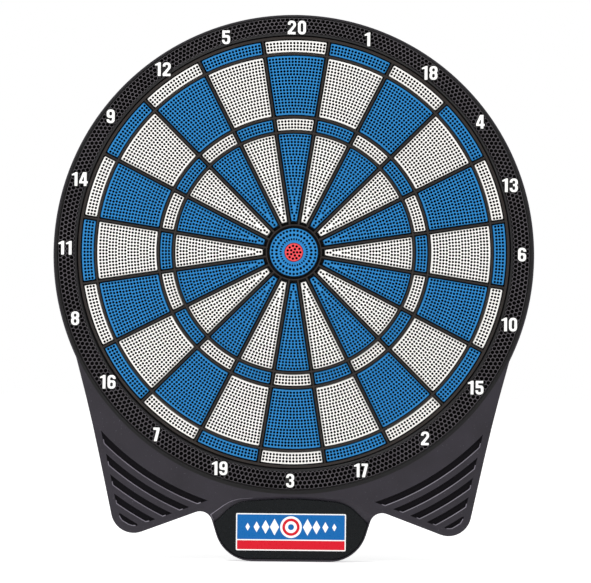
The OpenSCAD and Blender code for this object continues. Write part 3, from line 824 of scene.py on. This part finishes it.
def thinned(outline, gap):
    """The outline without points that crowd the one before."""
    kept = [outline[0]]
    for point in outline[1:]:
        if min((point - kept[-1]).length, (point - kept[0]).length) > gap:
            kept.append(point)
    return kept


def groove_field():
    """The skirt without its notches, less the plain border round the grooves."""
    tip, notch = Vector(SKIRT[2][:2]), Vector(SKIRT[3][:2])
    centre_z = tip.y + (notch.y - tip.y) / (tip.x - notch.x) * tip.x
    return inset(rounded(mirrored(SKIRT[:3] + [(0, centre_z, 0)])), GROOVE_BORDER)


def groove_loop(inner, outer, field, side):
    """One wing groove: a band between two radii, as far as it lies in the field."""
    tip = max((p for p in field if p.x > 0), key=lambda p: p.length)
    tip_angle = math.atan2(tip.x, tip.y)

    def edge(r, limit):
        """Where the circle of radius r leaves the field, between the wing's tip and a limit."""
        low, high = tip_angle, limit
        for _ in range(30):
            middle = (low + high) / 2
            low, high = (middle, high) if inside(polar(r, middle), field) else (low, middle)
        return low

    def top(r):
        return edge(r, math.radians(98))

    def bottom(r):
        return edge(r, math.radians(172))

    radii = spread(inner, min(outer, tip.length - 0.6), 6)
    loop = [polar(r, top(r)) for r in reversed(radii)]
    loop += [polar(radii[0], a) for a in spread(top(radii[0]), bottom(radii[0]), 40)]
    loop += [polar(r, bottom(r)) for r in radii]
    loop += [polar(radii[-1], a) for a in spread(bottom(radii[-1]), top(radii[-1]), 40)]
    if side < 0:
        loop = [Vector((-p.x, p.y)) for p in reversed(loop)]
    return thinned(loop, 2.2)


def make_case():
    """The front case: a rounded shell with a round opening, grooved wings and a scooped pod."""
    shape = Shape()
    wall = 2.4
    edge_r = 1.0
    outline = case_outline()
    seam = [shape.loop(inset(outline, 0.4), CASE_BACK), shape.loop(outline, CASE_BACK + 0.4)]
    rim = rounding(shape, outline, CASE_FRONT, edge_r, 5)
    inner_foot = shape.loop(inset(outline, wall), CASE_BACK)
    inner_top = shape.loop(inset(outline, wall), 22)
    shape.stack(inner_top, inner_foot, *seam, *rim)
    opening = [
        shape.loop(circle(OPENING_R + wider, 240, OPENING_MIDDLE), depth)
        for wider, depth in ((0.8, CASE_FRONT), (0.3, CASE_FRONT - 0.2), (0, CASE_FRONT - 0.7), (0, 24))
    ]
    opening += [shape.loop(circle(LEDGE_R, 240), depth) for depth in (24, 22)]
    shape.stack(*opening)
    shape.cap(inner_top, [opening[-1]], front=False)

    field = groove_field()
    holes = [opening[0]]
    for side in (-1, 1):
        for k in range(GROOVES):
            inner = GROOVE_R + k * GROOVE_PITCH
            groove = groove_loop(inner, inner + GROOVE_W, field, side)
            top = shape.loop(groove, CASE_FRONT)
            lip = shape.loop(inset(groove, 0.8), CASE_FRONT - 0.6)
            floor = shape.loop(inset(groove, 0.9), CASE_FRONT - 1.4)
            shape.stack(top, lip)
            # The lip takes a painted highlight along the far side of the groove
            reach = max(p.length for p in groove)
            outward = [p.length > reach - 2.5 for p in groove]
            pairs = zip(outward, outward[1:] + outward[:1])
            shape.tones[-len(top):] = [2 if a and b else 1 for a, b in pairs]
            shape.tone = 1
            shape.wall(lip, floor)
            shape.cap(floor)
            shape.tone = 0
            holes.append(top)

    scoop = pod_loop(rounded(mirrored(SCOOP)), inset(outline, edge_r + 0.1))
    panel = pod_loop(rounded(mirrored(PANEL)), inset(scoop, 0.15))
    slope = [shape.loop(scoop, CASE_FRONT)]
    for across, sink in ((0.1, 0.3), (0.35, 1.1), (0.7, 1.8), (1, 2.1)):
        slope.append(shape.loop([a.lerp(b, across) for a, b in zip(scoop, panel)], CASE_FRONT - sink))
    floor = shape.loop(panel, PANEL_BACK)
    first = len(shape.tones)
    shape.stack(*slope, floor)
    # The scoop's upper left edge takes a painted highlight
    for k, p in enumerate(scoop):
        if p.x < -34 and p.y > -262:
            shape.tones[first + k] = 2
    shape.cap(floor)
    shape.cap(rim[-1], holes + [slope[0]])
    mesh = shape.mesh("front case", CHARCOAL, GROOVE, EDGE_HIGHLIGHT)
    add_piece("front_case_shell", mesh, "board", ["front_case"])

    shape = Shape()
    plate(shape, inset(panel, 0.3), PANEL_BACK, PANEL_FRONT, 0.5, 4)
    mesh = shape.mesh("panel", PANEL_BLACK)
    add_piece("fascia_panel_gloss", mesh, "board", ["fascia_panel"])


def make_badge():
    """A printed plate of a plain design: a target on a blue field between diamonds, over a red band."""
    low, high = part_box("badge_plate")
    width, height = (high.x - low.x) / MM, (high.z - low.z) / MM
    middle = Vector(((low.x + high.x) / 2 / MM, (low.z + high.z) / 2 / MM))
    border = 1.1
    band = height * 0.24
    shape = Shape()
    plate(shape, rounded_box(width, height, 1.2, middle), BADGE_BACK, BADGE_FRONT - 0.2, 0.2, 2)
    shape.tone = 1
    field_h = height - band - 3 * border
    field_z = middle.y + height / 2 - border - field_h / 2
    field = rounded_box(width - 2 * border, field_h, 0.5, (middle.x, field_z))
    plate(shape, field, BADGE_FRONT - 0.4, BADGE_FRONT - 0.1, 0.05, 1)
    shape.tone = 2
    band_z = middle.y - height / 2 + border + band / 2
    lower_band = rounded_box(width - 2 * border, band, 0.5, (middle.x, band_z))
    plate(shape, lower_band, BADGE_FRONT - 0.4, BADGE_FRONT - 0.1, 0.05, 1)
    for k, (share, tone) in enumerate(((0.44, 0), (0.35, 2), (0.24, 0), (0.12, 1))):
        shape.tone = tone
        top = BADGE_FRONT - 0.08 + 0.02 * k
        plate(shape, circle(field_h * share, 48, (middle.x, field_z)), BADGE_FRONT - 0.3, top, 0.02, 1)
    shape.tone = 0
    for k in range(4):
        size = field_h * (0.34 - 0.06 * k)
        for side in (-1, 1):
            x = middle.x + side * (field_h * 0.44 + 5.2 + k * 8.3)
            diamond = rounded([(x + size * 0.55, field_z, 0.1), (x, field_z + size, 0.1),
                               (x - size * 0.55, field_z, 0.1), (x, field_z - size, 0.1)])
            plate(shape, diamond, BADGE_FRONT - 0.3, BADGE_FRONT - 0.04, 0.02, 1)
    mesh = shape.mesh("badge", BADGE_WHITE, BADGE_BLUE, BADGE_RED)
    add_piece("badge_print", mesh, "board", ["badge_plate"])


# ---- CAD nodes that keep their shape ----

REAR_BLACK = moulded("rear plastic", linear(38, 38, 40), 0.6, 900, 0.0002, 0.08, 0.4)
RUBBER = moulded("rubber mat", linear(22, 22, 22), 0.85, 1600, 0.0001, 0.1, 0.2)
FILM = moulded("membrane film", linear(178, 148, 70), 0.25, 300, 0.00002, 0.05)
HARDBOARD = moulded("hardboard", linear(140, 100, 66), 0.8, 2600, 0.0001, 0.2, 0.2)
CIRCUIT = moulded("circuit board", linear(20, 88, 44), 0.35, 500, 0.00003, 0.1)
SPEAKER = moulded("speaker frame", linear(70, 70, 74), 0.4, 600, 0.00003, 0.08)
CELL = moulded("cell sleeve", linear(40, 110, 70), 0.3, 300, 0.00002, 0.05)
KEY_RED = moulded("key plastic", linear(190, 34, 38), 0.45, 900, 0.00005, 0.05)


def metal(name, colour, roughness, scratch):
    """Plated metal with fine brushing."""
    material, tree, shader = new_material(name, roughness)
    shader.inputs["Metallic"].default_value = 1.0
    brushed = noise(tree, 900, 2, (1, 1, 0.08))
    tree.links.new(tint(tree, brushed, tuple(c * 0.8 for c in colour), colour), shader.inputs["Base Color"])
    tree.links.new(vary(tree, brushed, roughness - 0.08, roughness + 0.12), shader.inputs["Roughness"])
    bump(tree, shader, brushed, 0.4, scratch)
    return material


ZINC = metal("zinc plate", linear(200, 196, 186), 0.32, 0.00003)
NICKEL = metal("nickel plate", linear(210, 208, 200), 0.25, 0.00002)


def finish_nodes():
    """Materials, and softened edges, for the CAD nodes that are shown as they are."""
    finishes = {
        "rear_cover": (REAR_BLACK, 0.35), "battery_door": (REAR_BLACK, 0.3), "spider": (WEB, 0),
        "rubber_mat": (RUBBER, 0), "sensor_membrane": (FILM, 0), "support_board": (HARDBOARD, 0),
        "controller_board": (CIRCUIT, 0), "speaker": (SPEAKER, 0.3), "battery_contacts": (NICKEL, 0),
        "batteries": (CELL, 0.3), "key_power": (KEY_RED, 0.4), "key_game": (KEY_RED, 0.4),
        "key_player": (KEY_RED, 0.4), "case_screws": (ZINC, 0.1),
    }
    for node, (material, softness) in finishes.items():
        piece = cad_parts[node]
        for slot in piece.material_slots:
            slot.material = material
        if softness:
            soften = piece.modifiers.new("soft edges", "BEVEL")
            soften.width = softness * MM
            soften.segments = 2
            soften.limit_method = "ANGLE"
            soften.angle_limit = math.radians(40)


# ---- Studio ----


def make_studio():
    """A pale floor, a key light from the upper left, two weaker lights, and white all round."""
    scene = bpy.context.scene
    scene.view_settings.view_transform = "Standard"
    world = bpy.data.worlds.new("studio")
    scene.world = world
    world.use_nodes = True
    tree = world.node_tree
    background = tree.nodes["Background"]
    background.inputs["Color"].default_value = (1, 1, 1, 1)
    # White behind the board, soft light on it, and a dim room in its reflections
    path = tree.nodes.new("ShaderNodeLightPath")
    light = tree.nodes.new("ShaderNodeMix")
    light.inputs["A"].default_value = 0.62
    light.inputs["B"].default_value = 0.16
    tree.links.new(path.outputs["Is Glossy Ray"], light.inputs["Factor"])
    seen = tree.nodes.new("ShaderNodeMix")
    seen.inputs["B"].default_value = 1.0
    tree.links.new(path.outputs["Is Camera Ray"], seen.inputs["Factor"])
    tree.links.new(light.outputs["Result"], seen.inputs["A"])
    tree.links.new(seen.outputs["Result"], background.inputs["Strength"])

    for name, place, size, energy in (
        ("key", (-0.8, -1.6, 1.9), 0.8, 26),
        ("fill", (-1.4, -2.2, 0.2), 1.6, 6),
        ("low glint", (1.5, -0.9, -1.1), 0.5, 5),
    ):
        light = bpy.data.lights.new(name, "AREA")
        light.size = size
        light.energy = energy
        lamp = bpy.data.objects.new(name, light)
        lamp.location = place
        lamp.rotation_euler = (-Vector(place)).to_track_quat("-Z", "Y").to_euler()
        scene.collection.objects.link(lamp)

    floor_mesh = bpy.data.meshes.new("floor")
    reach, level = 6.0, -POD_BOTTOM * MM - 0.0005
    corners = [(x * reach, y * reach, level) for x, y in ((-1, -1), (1, -1), (1, 1), (-1, 1))]
    floor_mesh.from_pydata(corners, [], [(0, 1, 2, 3)])
    material, tree, shader = new_material("pale floor", 0.9, 0.1)
    colour = tint(tree, noise(tree, 3, 3), (0.9, 0.9, 0.9), (0.94, 0.94, 0.94))
    tree.links.new(colour, shader.inputs["Base Color"])
    shader.inputs["Emission Color"].default_value = (1, 1, 1, 1)
    shader.inputs["Emission Strength"].default_value = 0.6
    floor_mesh.materials.append(material)
    floor = bpy.data.objects.new("floor", floor_mesh)
    scene.collection.objects.link(floor)


make_camera()
make_segments()
make_outer_bull()
make_inner_bull()
make_catch_ring()
make_numbers()
make_case()
make_badge()
finish_nodes()
make_studio()
